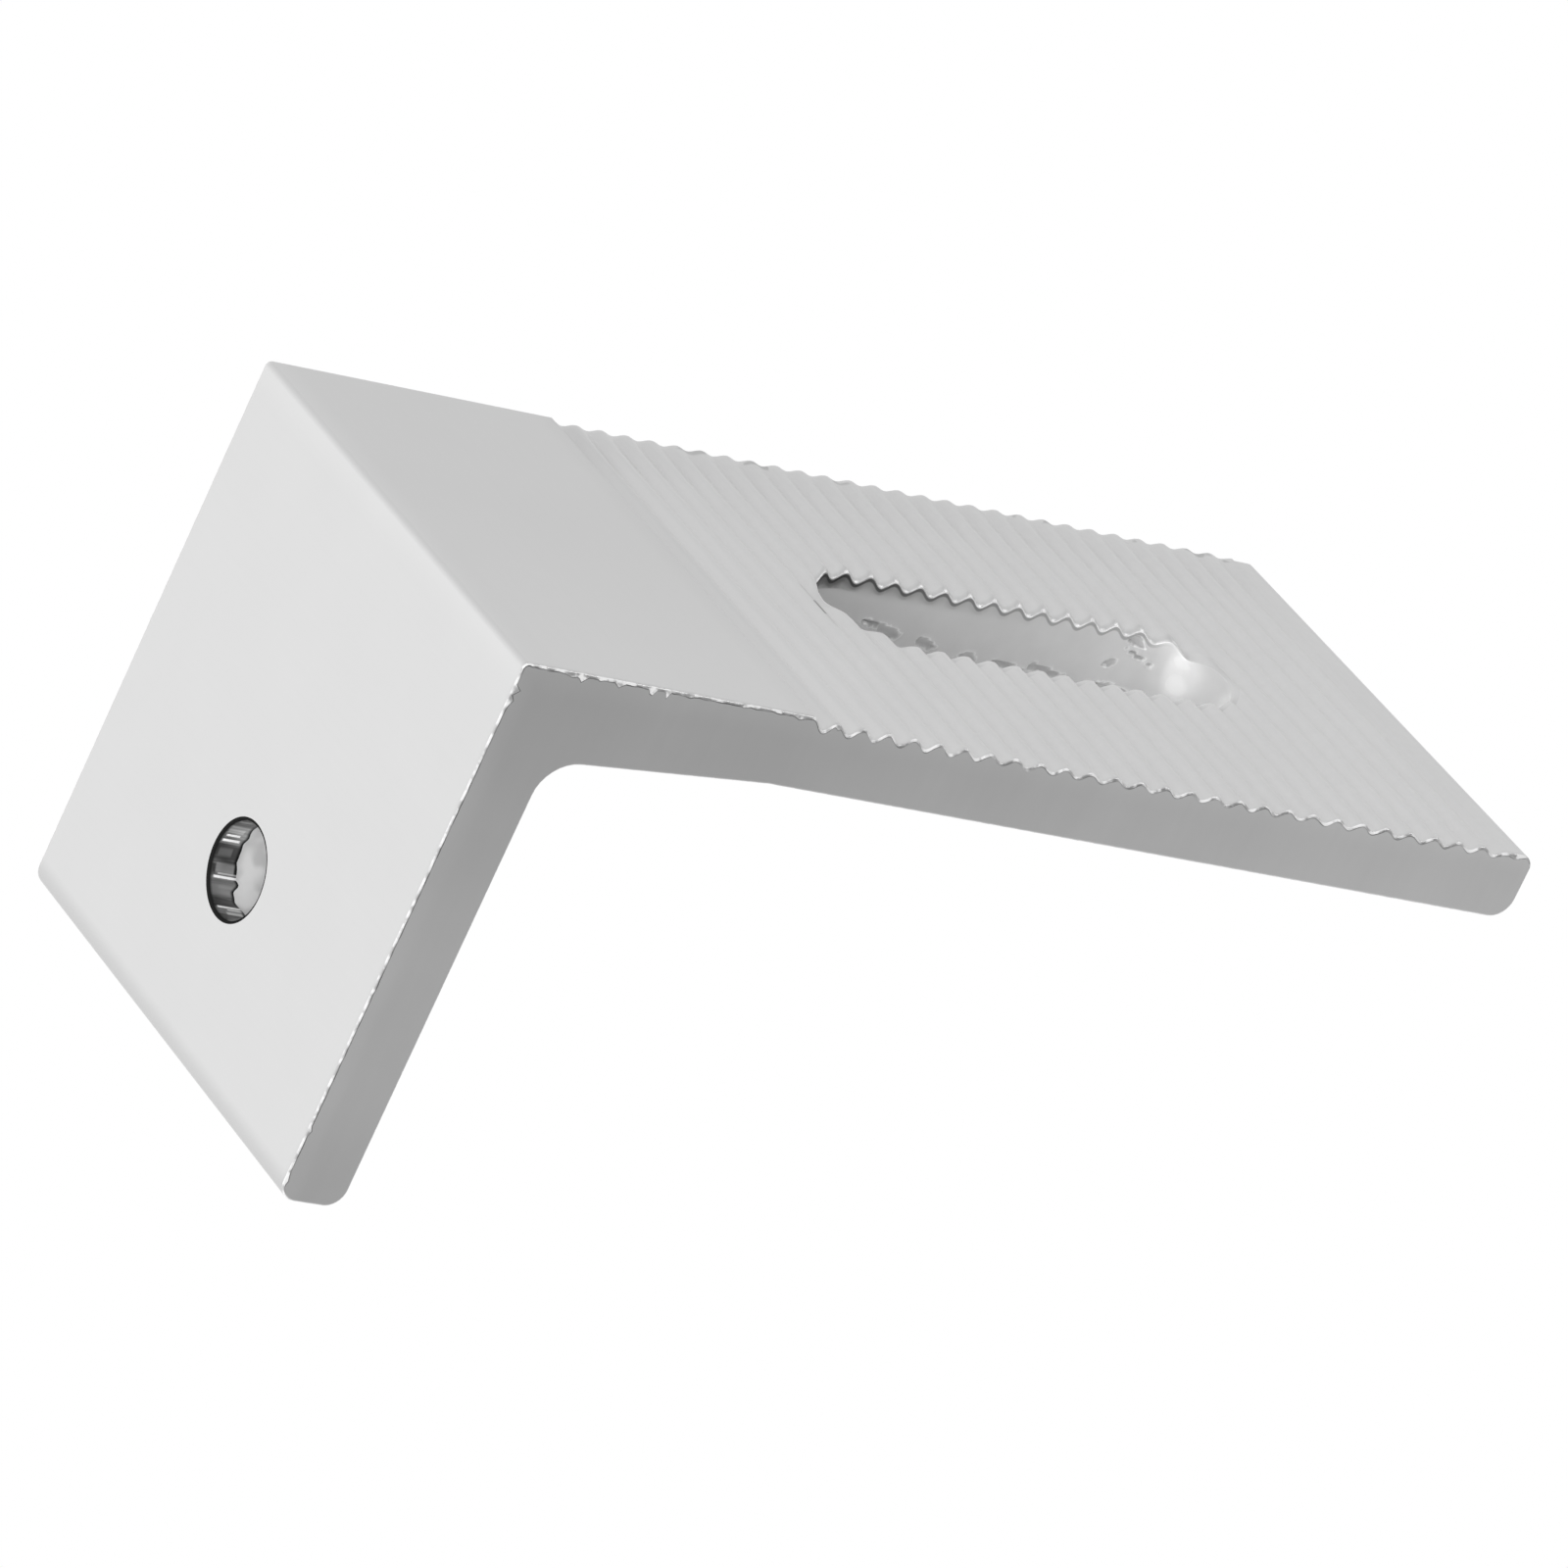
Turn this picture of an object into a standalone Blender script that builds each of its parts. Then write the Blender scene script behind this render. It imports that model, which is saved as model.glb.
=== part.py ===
"""L foot bracket for a solar mounting rail, cut from one aluminium extrusion.

The foot's bearing face lies on the XY plane with the origin in its middle, and the leg stands
up along +Z at the foot's -X end. The leg's outer face looks towards -X. It is smooth above the
heel and toothed further up, so that a rail with matching teeth keeps its height. A round-ended
slot through the teeth takes the rail's bolt, and a round hole in the foot takes the roof
fastener. The inner side of the leg is stiffened by a taper that runs out above the foot.
"""

import math

import bmesh
import bpy
from mathutils import Vector

# Driving dimensions, in metres. Heights are measured from the bearing face.
WIDTH = 0.040                   # length sawn from the extrusion, along Y

FOOT_LENGTH = 0.0407            # heel to the foot's free end, along X
FOOT_THICKNESS = 0.0050

LEG_HEIGHT = 0.0840
LEG_THICKNESS = 0.0053          # smooth land to inner face, above the taper
ROOT_SWELL = 0.00126            # the leg is this much thicker where it meets the foot
TAPER_RISE = 0.0169             # foot's top face to where the swell has run out

HEEL_RADIUS = 0.0003
INNER_FILLET_RADIUS = 0.0025
FOOT_END_RADIUS = 0.0014
LEG_END_INNER_RADIUS = 0.0016
LEG_END_OUTER_RADIUS = 0.0010

LAND_HEIGHT = 0.02305           # top of the smooth land on the leg's outer face
TOOTH_PITCH = 0.00209
TOOTH_DEPTH = 0.00075           # crest to valley
CREST_DROP = 0.00020            # crests lie this far below the smooth land
END_LAND_DROP = 0.00040         # and so does the short land at the free end
END_LAND_HEIGHT = 0.00243       # about the height of that short land

SLOT_WIDTH = 0.0100
SLOT_LENGTH = 0.0338            # overall, round ends included
SLOT_CENTRE_HEIGHT = 0.0521

HOLE_DIAMETER = 0.0070
HOLE_FROM_HEEL = 0.0273

# Fineness of the round stretches.
CORNER_STEPS = 8
STEPS_PER_FLANK = 6
SLOT_END_STEPS = 32
HOLE_STEPS = 64
SMOOTH_ANGLE = math.radians(30)

CUT_CLEARANCE = 0.002           # how far a cutter stands out of the faces it cuts

ALUMINIUM = (0.79, 0.79, 0.80, 1.0)


def from_heel(along_foot, across, up):
    """Place of a point that is measured from the middle of the heel."""
    return Vector((along_foot - FOOT_LENGTH / 2, across, up))


def arc(centre, radius, start, turn, steps):
    """Points along an arc in a plane, both its ends included."""
    angles = [start + turn * step / steps for step in range(steps + 1)]
    return [centre + Vector((math.cos(angle), math.sin(angle))) * radius for angle in angles]


def rounded_corner(before, corner, after, radius):
    """Points of the arc that rounds a corner of the outline, tangent to both its sides."""
    if radius <= 0:
        return [corner]
    to_before = (before - corner).normalized()
    to_after = (after - corner).normalized()
    half_angle = to_before.angle(to_after) / 2
    centre = corner + (to_before + to_after).normalized() * radius / math.sin(half_angle)
    reach = radius / math.tan(half_angle)
    first = corner + to_before * reach - centre
    last = corner + to_after * reach - centre
    clockwise_turn = first.angle_signed(last)
    return arc(centre, radius, math.atan2(first.y, first.x), -clockwise_turn, CORNER_STEPS)


def tooth_count():
    """Whole teeth between the smooth land and the short land at the free end."""
    toothed_height = LEG_HEIGHT - END_LAND_HEIGHT - LAND_HEIGHT
    return max(1, round(toothed_height / TOOTH_PITCH))


def toothed_outline():
    """Outline of the toothed face from the smooth land upwards, one half wave per flank."""
    valley = CREST_DROP + TOOTH_DEPTH
    drops = [0.0] + [valley, CREST_DROP] * tooth_count()
    drops[-1] = END_LAND_DROP

    points = []
    for flank, (start, end) in enumerate(zip(drops, drops[1:])):
        for step in range(STEPS_PER_FLANK):
            share = step / STEPS_PER_FLANK
            wave = (1 - math.cos(math.pi * share)) / 2
            height = LAND_HEIGHT + (flank + share) * TOOTH_PITCH / 2
            points.append(Vector((start + (end - start) * wave, height)))
    top_of_teeth = LAND_HEIGHT + tooth_count() * TOOTH_PITCH
    return points + [Vector((END_LAND_DROP, top_of_teeth))]


def bracket_outline():
    """The extrusion's whole section, seen from the side, anticlockwise from the heel."""
    corners = [
        (Vector((0, 0)), HEEL_RADIUS),
        (Vector((FOOT_LENGTH, 0)), FOOT_END_RADIUS),
        (Vector((FOOT_LENGTH, FOOT_THICKNESS)), FOOT_END_RADIUS),
        (Vector((LEG_THICKNESS + ROOT_SWELL, FOOT_THICKNESS)), INNER_FILLET_RADIUS),
        (Vector((LEG_THICKNESS, FOOT_THICKNESS + TAPER_RISE)), 0),
        (Vector((LEG_THICKNESS, LEG_HEIGHT)), LEG_END_INNER_RADIUS),
        (Vector((END_LAND_DROP, LEG_HEIGHT)), LEG_END_OUTER_RADIUS),
    ]
    teeth_downwards = toothed_outline()[::-1]
    places = [place for place, radius in corners]
    after_each = places[1:] + [teeth_downwards[0]]
    before_each = [teeth_downwards[-1]] + places[:-1]

    outline = []
    for (place, radius), before, after in zip(corners, before_each, after_each):
        outline += rounded_corner(before, place, after, radius)
    return outline + teeth_downwards


def slot_outline():
    """Two half circles that the slot's straight sides join, seen along X."""
    radius = SLOT_WIDTH / 2
    end_centre = Vector((0, SLOT_LENGTH / 2 - radius))
    upper_end = arc(end_centre, radius, 0, math.pi, SLOT_END_STEPS)
    lower_end = arc(-end_centre, radius, math.pi, math.pi, SLOT_END_STEPS)
    return upper_end + lower_end


def hole_outline():
    """The fastener hole, seen along Z."""
    return arc(Vector((0, 0)), HOLE_DIAMETER / 2, 0, 2 * math.pi, HOLE_STEPS)[:-1]


def extruded_object(name, outline, to_space, along):
    """A closed solid: the outline placed by to_space and pushed along a vector."""
    mesh = bpy.data.meshes.new(name)
    solid = bmesh.new()
    face = solid.faces.new([solid.verts.new(to_space(point)) for point in outline])
    pushed = bmesh.ops.extrude_face_region(solid, geom=[face])
    moved = [item for item in pushed["geom"] if isinstance(item, bmesh.types.BMVert)]
    bmesh.ops.translate(solid, verts=moved, vec=along)
    bmesh.ops.recalc_face_normals(solid, faces=solid.faces)
    solid.to_mesh(mesh)
    solid.free()
    made = bpy.data.objects.new(name, mesh)
    bpy.context.scene.collection.objects.link(made)
    return made


def aluminium():
    """Plain mill-finished aluminium, as it leaves the extrusion die."""
    material = bpy.data.materials.new("mill_aluminium")
    material.use_nodes = True
    shader = material.node_tree.nodes["Principled BSDF"]
    shader.inputs["Base Color"].default_value = ALUMINIUM
    shader.inputs["Metallic"].default_value = 1.0
    shader.inputs["Roughness"].default_value = 0.42
    return material


def bracket_blank():
    """The sawn length of extrusion, before it is punched."""
    blank = extruded_object(
        "l_foot_bracket",
        bracket_outline(),
        lambda point: from_heel(point.x, -WIDTH / 2, point.y),
        Vector((0, WIDTH, 0)),
    )
    blank.data.materials.append(aluminium())
    return blank


def slot_cutter():
    """Round-ended bar that runs right through the leg along X."""
    reach = LEG_THICKNESS + ROOT_SWELL + 2 * CUT_CLEARANCE
    return extruded_object(
        "slot_cutter",
        slot_outline(),
        lambda point: from_heel(-CUT_CLEARANCE, point.x, SLOT_CENTRE_HEIGHT + point.y),
        Vector((reach, 0, 0)),
    )


def hole_cutter():
    """Round bar that runs right through the foot along Z."""
    reach = FOOT_THICKNESS + 2 * CUT_CLEARANCE
    return extruded_object(
        "hole_cutter",
        hole_outline(),
        lambda point: from_heel(HOLE_FROM_HEEL + point.x, point.y, -CUT_CLEARANCE),
        Vector((0, 0, reach)),
    )


def cut(piece, cutter):
    """Take the cutter's shape out of the piece, and keep the cutter as a guide only."""
    cutter.hide_render = True
    cutter.display_type = "WIRE"
    boolean = piece.modifiers.new(cutter.name, "BOOLEAN")
    boolean.operation = "DIFFERENCE"
    boolean.solver = "EXACT"
    boolean.object = cutter


def main():
    for leftover in list(bpy.data.objects):
        bpy.data.objects.remove(leftover)
    bracket = bracket_blank()
    cut(bracket, slot_cutter())
    cut(bracket, hole_cutter())
    bracket.data.shade_smooth()
    bracket.data.set_sharp_from_angle(angle=SMOOTH_ANGLE)


main()
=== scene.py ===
# %% [markdown]
# # An L foot bracket, sawn and punched
#
# The bracket is one length of aluminium extrusion. A die gives it the L-shaped section with the
# toothed outer face, a saw cuts it to length, and a press punches a round hole in its foot and
# a long slot in its leg. This lesson makes it in the same order, so each tool leaves its own
# marks: die lines, rough sawn sides with burrs along their edges, and punched walls that are
# smooth where the punch sheared the metal and rough where the metal tore.

import math

import bmesh
import bpy
from mathutils import Matrix, Vector, noise


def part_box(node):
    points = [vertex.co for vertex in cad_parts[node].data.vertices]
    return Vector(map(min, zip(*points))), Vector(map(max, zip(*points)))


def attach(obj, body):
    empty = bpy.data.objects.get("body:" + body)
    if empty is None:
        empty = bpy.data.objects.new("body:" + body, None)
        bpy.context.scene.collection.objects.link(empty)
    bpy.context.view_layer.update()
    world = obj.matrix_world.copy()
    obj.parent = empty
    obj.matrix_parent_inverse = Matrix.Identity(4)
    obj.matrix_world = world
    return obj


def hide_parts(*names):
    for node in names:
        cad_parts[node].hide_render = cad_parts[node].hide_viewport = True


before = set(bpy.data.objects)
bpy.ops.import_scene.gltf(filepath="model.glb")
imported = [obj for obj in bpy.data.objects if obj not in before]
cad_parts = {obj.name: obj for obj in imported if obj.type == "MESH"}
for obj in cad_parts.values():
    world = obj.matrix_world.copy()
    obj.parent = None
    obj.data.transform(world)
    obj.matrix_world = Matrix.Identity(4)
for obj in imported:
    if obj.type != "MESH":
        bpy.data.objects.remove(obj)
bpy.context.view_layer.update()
low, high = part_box("l_foot_bracket")
print("the frame's box in mm:", [round(1000 * size, 1) for size in high - low])

# %% [markdown]
# ## Sizes
#
# The frame gives the outer size and place of the bracket. Everything else is measured from its
# heel, the outer corner where the leg meets the foot: how far along the foot, and how far up.
# The teeth are a wave with one pitch, one depth and a count. It grows shallower only towards
# the sawn edges and the slot's rim.

# %% Sizes of the extruded section
MM = 0.001
HEEL = low.x
NEAR_SIDE, FAR_SIDE = low.y, high.y
FOOT_LENGTH = high.x - low.x
LEG_HEIGHT = high.z

FOOT_THICKNESS = 5.0 * MM
LEG_THICKNESS = 5.3 * MM
ROOT_THICKNESS = 6.56 * MM
TAPER_TOP = 21.9 * MM

LAND_HEIGHT = 23.05 * MM
TEETH = 28
TOOTH_PITCH = 2.09 * MM
CREST_DROP = 0.20 * MM
VALLEY_DROP = 0.86 * MM
END_LAND_DROP = 0.40 * MM
TOP_OF_TEETH = LAND_HEIGHT + TEETH * TOOTH_PITCH

HEEL_RADIUS = 0.45 * MM
INNER_FILLET_RADIUS = 2.5 * MM
FOOT_END_RADIUS = 1.4 * MM
LEG_END_INNER_RADIUS = 1.6 * MM
LEG_END_OUTER_RADIUS = 1.0 * MM

# %% Sizes of the punched openings
HOLE_RADIUS = 3.35 * MM
HOLE_FROM_HEEL = 27.15 * MM
HOLE_OFF_MIDDLE = -0.88 * MM
SLOT_RADIUS = 4.95 * MM
SLOT_RUN = 23.9 * MM
SLOT_CENTRE_HEIGHT = 52.1 * MM

# %% [markdown]
# ## The camera
#
# The bracket stands on its foot in this file, but the photograph looks at it from below, from
# the toothed side, with the leg pointing to the right. A long lens a good way off keeps the
# edges nearly parallel. The camera is placed by three facts: where it stands, the point it
# looks at, and which way is up in its picture.

# %% Camera
CAMERA_PLACE = Vector((-0.29188, -0.61776, -0.44460))
CAMERA_TARGET = Vector((-0.01539, -0.02022, 0.02290))
PICTURE_UP = Vector((-0.84880, 0.50784, -0.14710))
LENS_MM = 286.23


def look_from(place, target, up):
    """The matrix of a camera that stands at a place and looks at a target."""
    forward = (target - place).normalized()
    right = forward.cross(up).normalized()
    turn = Matrix((right, right.cross(forward), -forward)).transposed()
    return Matrix.Translation(place) @ turn.to_4x4()


camera_data = bpy.data.cameras.new("camera")
camera_data.lens = LENS_MM
camera = bpy.data.objects.new("camera", camera_data)
camera.matrix_world = look_from(CAMERA_PLACE, CAMERA_TARGET, PICTURE_UP)
bpy.context.scene.collection.objects.link(camera)
bpy.context.scene.camera = camera
bpy.context.scene.view_settings.view_transform = "Standard"
print("the camera stands", round((CAMERA_TARGET - CAMERA_PLACE).length, 3), "m off")

# %% [markdown]
# ## Writing shader sums
#
# A material is a graph of nodes, and sums on its sockets are easier to read as Python than as
# a list of Math nodes. `Signal` wraps one socket and knows the operators used below. `Nodes`
# wraps a tree, and its `add` method makes any node: its kind, its settings, and then the values
# or signals that go into it. Its other methods are short names for what is used most.

# %% Signal and Nodes


class Signal:
    """One output socket that plain sums can be written with."""

    def __init__(self, nodes, socket):
        self.nodes = nodes
        self.socket = socket

    def _sum(self, operation, first, second):
        return self.nodes.work_out(operation, first, second)

    def __add__(self, other):
        return self._sum("ADD", self, other)

    __radd__ = __add__

    def __sub__(self, other):
        return self._sum("SUBTRACT", self, other)

    def __rsub__(self, other):
        return self._sum("SUBTRACT", other, self)

    def __mul__(self, other):
        return self._sum("MULTIPLY", self, other)

    __rmul__ = __mul__


class Nodes:
    """A node tree, with one way to add any node to it."""

    def __init__(self, tree):
        self.tree = tree

    def feed(self, socket, value):
        """Put a plain value on a socket, or link a signal to it."""
        if isinstance(value, Signal):
            self.tree.links.new(value.socket, socket)
        else:
            socket.default_value = value

    def add(self, kind, settings=None, inputs=None, output=0):
        """A node of a kind, set first and fed next; inputs is a list or goes by socket."""
        node = self.tree.nodes.new(kind)
        for name, value in (settings or {}).items():
            setattr(node, name, value)
        fed = enumerate(inputs) if isinstance(inputs, list) else (inputs or {}).items()
        for key, value in fed:
            self.feed(node.inputs[key], value)
        return Signal(self, node.outputs[output])

    def work_out(self, operation, *values):
        """A Math node's result, by the node's own name for its operation."""
        return self.add("ShaderNodeMath", {"operation": operation}, list(values))

    def towards(self, way, direction):
        """How far a way leads in a direction: their dot product."""
        return self.add(
            "ShaderNodeVectorMath", {"operation": "DOT_PRODUCT"}, [way, direction], "Value"
        )

    def place(self):
        """The point's place on the piece, in metres."""
        return self.add("ShaderNodeTexCoord", output="Object")

    def along(self, axis):
        """One coordinate of the point's place: X, Y or Z."""
        return self.add("ShaderNodeSeparateXYZ", inputs=[self.place()], output=axis)

    def stored(self, name):
        """A number that the mesh keeps for each of its points."""
        return self.add("ShaderNodeAttribute", {"attribute_name": name}, output="Fac")

    def noise(self, scale, detail=2.0, roughness=0.5, stretch=(1, 1, 1)):
        """Cloudy noise from 0 to 1, drawn out along the axes where stretch is small."""
        drawn_out = self.add(
            "ShaderNodeVectorMath", {"operation": "MULTIPLY"}, [self.place(), stretch]
        )
        return self.add(
            "ShaderNodeTexNoise",
            inputs={"Vector": drawn_out, "Scale": scale, "Detail": detail, "Roughness": roughness},
        )

    def ease(self, value, start, end, first=0.0, last=1.0):
        """A smooth change from first to last while value goes from start to end."""
        return self.add(
            "ShaderNodeMapRange",
            {"interpolation_type": "SMOOTHSTEP"},
            [value, start, end, first, last],
        )

    def band(self, value, start, end, soft):
        """1 between start and end, with soft borders, and 0 elsewhere."""
        return self.ease(value, start - soft, start) * self.ease(value, end, end + soft, 1.0, 0.0)

    def mix_colours(self, share, first, last):
        """The first colour where share is 0 and the last where it is 1."""
        return self.add(
            "ShaderNodeMix", {"data_type": "RGBA"}, {0: share, 6: first, 7: last}, output=2
        )

    def bump(self, height, depth):
        """A normal that rises and falls with height, from 0 to 1, by a depth in metres."""
        return self.add("ShaderNodeBump", inputs={"Distance": depth, "Height": height})


def grey(level):
    """A neutral colour for a colour socket."""
    return (level, level, level, 1.0)


# %% [markdown]
# ## A white studio
#
# Bare metal has hardly any colour of its own: it shows the room. If it saw white all round, its
# faces would all have one tone and the L would lose its shape. The photograph's room is bright
# beyond the part and grows darker towards the camera's side, with a dark upright gap where the
# camera stands and a dark ceiling. So the world is white for the camera's own rays, and for
# the metal it is a smooth slope of greys by direction, with that gap and ceiling in it. The
# metal sees the white only in the patch of room behind the part, which the picture shows.
# The borders of gap, ceiling and patch are cosines of the angle to their middle.

# %% World
ROOM_LEVEL = 0.704
ROOM_SLOPE = (0.225, 0.290, -0.071)
GAP_WAY = (-0.31, -0.95, 0.0)
GAP_SHARE = 0.85
GAP_BORDER = (0.72, 0.80)
CEILING_SHARE = 0.6
CEILING_BORDER = (0.86, 0.96)
PATCH_BORDER = (0.965, 0.99)

world = bpy.data.worlds.new("studio")
world.use_nodes = True
bpy.context.scene.world = world
room = Nodes(world.node_tree)
way = room.add("ShaderNodeTexCoord", output="Generated")
upwards = room.add("ShaderNodeSeparateXYZ", inputs=[way], output="Z")
gap = room.ease(room.towards(way, GAP_WAY), *GAP_BORDER, 1.0, 1 - GAP_SHARE)
ceiling = room.ease(upwards, *CEILING_BORDER, 1.0, 1 - CEILING_SHARE)
room_grey = (ROOM_LEVEL + room.towards(way, ROOM_SLOPE)) * gap * ceiling
view_way = tuple((CAMERA_TARGET - CAMERA_PLACE).normalized())
behind_part = room.ease(room.towards(way, view_way), *PATCH_BORDER)
seen_by_camera = room.add("ShaderNodeLightPath", output="Is Camera Ray")
seen_by_metal = room.add("ShaderNodeLightPath", output="Is Glossy Ray")
white_share = seen_by_camera + seen_by_metal * behind_part
room_colour = room.mix_colours(white_share, room_grey, grey(1.0))
room.feed(world.node_tree.nodes["Background"].inputs["Color"], room_colour)
print("the room's greys lie round", ROOM_LEVEL)

# %% [markdown]
# ## The floor
#
# The part stands on a pale floor, yet the photograph looks at it from underneath. A floor with
# a front and no back solves this: seen from above it is plain and takes the part's shadow, and
# from below it isn't there. It lets all other rays through, so that the bearing face, half a
# millimetre above it, still sees the studio.

# %% Floor
FLOOR_GAP = 0.5 * MM
FLOOR_SIZE = 3.0
FLOOR_LEVEL = 0.9

bpy.ops.object.select_all(action="DESELECT")
bpy.ops.mesh.primitive_plane_add(size=FLOOR_SIZE, location=(0, 0, low.z - FLOOR_GAP))
floor = bpy.context.object
floor.name = "floor"
floor_material = bpy.data.materials.new("floor_white")
floor_material.use_nodes = True
floor_nodes = Nodes(floor_material.node_tree)
from_above = 1 - floor_nodes.add("ShaderNodeNewGeometry", output="Backfacing")
seen = floor_nodes.add("ShaderNodeLightPath", output="Is Camera Ray")
clear = floor_nodes.add("ShaderNodeBsdfTransparent")
matt = floor_nodes.add("ShaderNodeBsdfDiffuse", inputs={"Color": grey(FLOOR_LEVEL)})
one_sided = floor_nodes.add("ShaderNodeMixShader", inputs=[seen * from_above, clear, matt])
output_node = floor_material.node_tree.nodes["Material Output"]
floor_nodes.feed(output_node.inputs["Surface"], one_sided)
floor.data.materials.append(floor_material)
print("the floor lies", round(FLOOR_GAP / MM, 1), "mm below the bearing face")

# %% [markdown]
# ## Lamps
#
# A tall strip light stands on the toothed side. The faces themselves don't mirror it to the
# camera, but every rounded edge does, which draws the thin bright lines along them. A second
# soft box shines up from the camera's side into the slot and the hole.

# %% Lamps


def soft_box(name, towards, distance, width, height, power):
    """An area lamp that shines at the bracket from a direction, its height along Z."""
    lamp_data = bpy.data.lights.new(name, "AREA")
    lamp_data.shape = "RECTANGLE"
    lamp_data.size = width
    lamp_data.size_y = height
    lamp_data.energy = power
    lamp = bpy.data.objects.new(name, lamp_data)
    middle = (low + high) / 2
    place = middle + Vector(towards).normalized() * distance
    lamp.matrix_world = look_from(place, middle, Vector((0, 0, 1)))
    bpy.context.scene.collection.objects.link(lamp)


soft_box("strip_lamp", (-0.80, -0.37, 0.47), 0.6, 0.14, 0.6, 0.7)
soft_box("low_lamp", (-0.25, -0.68, -0.69), 0.6, 0.3, 0.3, 1.8)
print("lamps in watts:", {lamp.name: round(lamp.energy, 2) for lamp in bpy.data.lights})

# %% [markdown]
# ## Finishes
#
# It is all the same metal, but three tools have touched it. The die leaves long faint lines
# along the extrusion. The saw leaves a rougher, cloudy face, with a bright burr along its edges,
# and a line of painted shadow at the burr's root. The punch gets a section of its own
# further down.
#
# The skin has two marks of handling, both dark. A short scratch runs along one crest below the
# slot, deep in its middle and faint at its ends, and small ticks sit on the far sawn edge.

# %% A new finish
METAL = 0.76


def finish(name):
    """A new material, its nodes and its shader."""
    material = bpy.data.materials.new(name)
    material.use_nodes = True
    shader = material.node_tree.nodes["Principled BSDF"]
    shader.inputs["Metallic"].default_value = 1.0
    return material, Nodes(material.node_tree), shader


# %% The extruded skin
def skin_level(nodes):
    """How bright the die leaves the metal: faint clouds and fine lines along the extrusion."""
    clouds = nodes.noise(140, detail=3)
    die_lines = nodes.noise(2200, detail=3, stretch=(1, 0.012, 1))
    return METAL * (0.96 + 0.05 * clouds + 0.03 * die_lines), clouds, die_lines


FIRST_VALLEY_SHADE = (23.3 * MM, 24.5 * MM)
SCRATCH_HEIGHTS = (33.46 * MM, 33.68 * MM)
SCRATCH_DEEP = (-2.8 * MM, -1.2 * MM)
SCRATCH_FAINT = (-4.0 * MM, 0.6 * MM)
TICKED_EDGE = (19.2 * MM, 19.6 * MM)


def handling_marks(nodes, toothed):
    """How much darker the outer face is in its scratch and in the ticks on its far edge."""
    across = nodes.along("Y")
    deep_part = nodes.band(across, *SCRATCH_DEEP, 0.2 * MM)
    faint_part = nodes.band(across, *SCRATCH_FAINT, 1.0 * MM)
    scratch = nodes.band(nodes.along("Z"), *SCRATCH_HEIGHTS, 0.06 * MM)
    scratch = scratch * (0.40 * deep_part + 0.14 * faint_part)
    spots = nodes.ease(nodes.noise(420), 0.57, 0.63)
    ticks = nodes.ease(across, *TICKED_EDGE) * spots * toothed
    outer_face = nodes.ease(nodes.along("X"), HEEL + 1.5 * MM, HEEL + 2.5 * MM, 1.0, 0.0)
    return outer_face * (scratch + 0.25 * ticks)


def extruded_finish():
    """Satin metal: darker at the foot's end, grainy on the teeth, painted highlight by the heel.

    The first valley is a soft band of painted shade. Crests, the floors of valleys, the toothed
    zone and the leg towards its free end get a little painted light.
    """
    material, nodes, shader = finish("extruded_skin")
    level, clouds, die_lines = skin_level(nodes)
    grain = nodes.noise(1500, detail=3)
    along_foot, across, up_leg = nodes.along("X"), nodes.along("Y"), nodes.along("Z")
    valley = nodes.stored("valley")
    leg = nodes.ease(up_leg, 0.0, 4 * MM)
    toothed = nodes.ease(up_leg, LAND_HEIGHT - 1 * MM, LAND_HEIGHT + 16 * MM)

    foot_end = nodes.ease(along_foot, high.x - 2.2 * MM, high.x - 0.6 * MM, 1.0, 0.8)
    from_heel = nodes.work_out("MAXIMUM", along_foot - HEEL, up_leg)
    # Painted highlight along the heel's edge, on both outer faces.
    heel_highlight = nodes.ease(from_heel, 0.0, 2.5 * MM, 0.04, 0.0)
    near_side = nodes.ease(across, NEAR_SIDE, 5 * MM, 0.035, 0.0)
    near_side = near_side * leg * (1 - 0.7 * toothed)
    # Painted shade: a soft dark band in the first valley.
    first_valley_shade = nodes.band(up_leg, *FIRST_VALLEY_SHADE, 2.2 * MM)
    first_valley_shade = first_valley_shade * nodes.ease(valley, 0.0, 0.1, 0.7, 1.0)
    level = level * foot_end * (1 + heel_highlight + near_side - 0.045 * first_valley_shade)

    # Painted light: crests, valley floors, the toothed zone and the leg's free end are made paler.
    crest = nodes.band(valley, 0.20, 0.26, 0.10)
    valley_floor_light = nodes.ease(valley, 0.75, 0.97)
    painted_teeth_light = 0.042 * toothed + 0.05 * valley + 0.024 * crest + 0.02 * valley_floor_light
    painted_light_up_leg = nodes.ease(up_leg, 50 * MM, 80 * MM, 0.0, 0.022)
    level = level * (1 + painted_teeth_light + painted_light_up_leg - handling_marks(nodes, toothed))
    nodes.feed(shader.inputs["Base Color"], level * (1 + 0.04 * (grain - 0.5) * toothed))
    nodes.feed(
        shader.inputs["Roughness"], 0.38 + 0.06 * clouds + 0.06 * die_lines + 0.14 * toothed
    )
    relief = die_lines + 4 * grain * toothed
    nodes.feed(shader.inputs["Normal"], nodes.bump(relief, 0.002 * MM))
    return material


EXTRUDED = extruded_finish()

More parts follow.
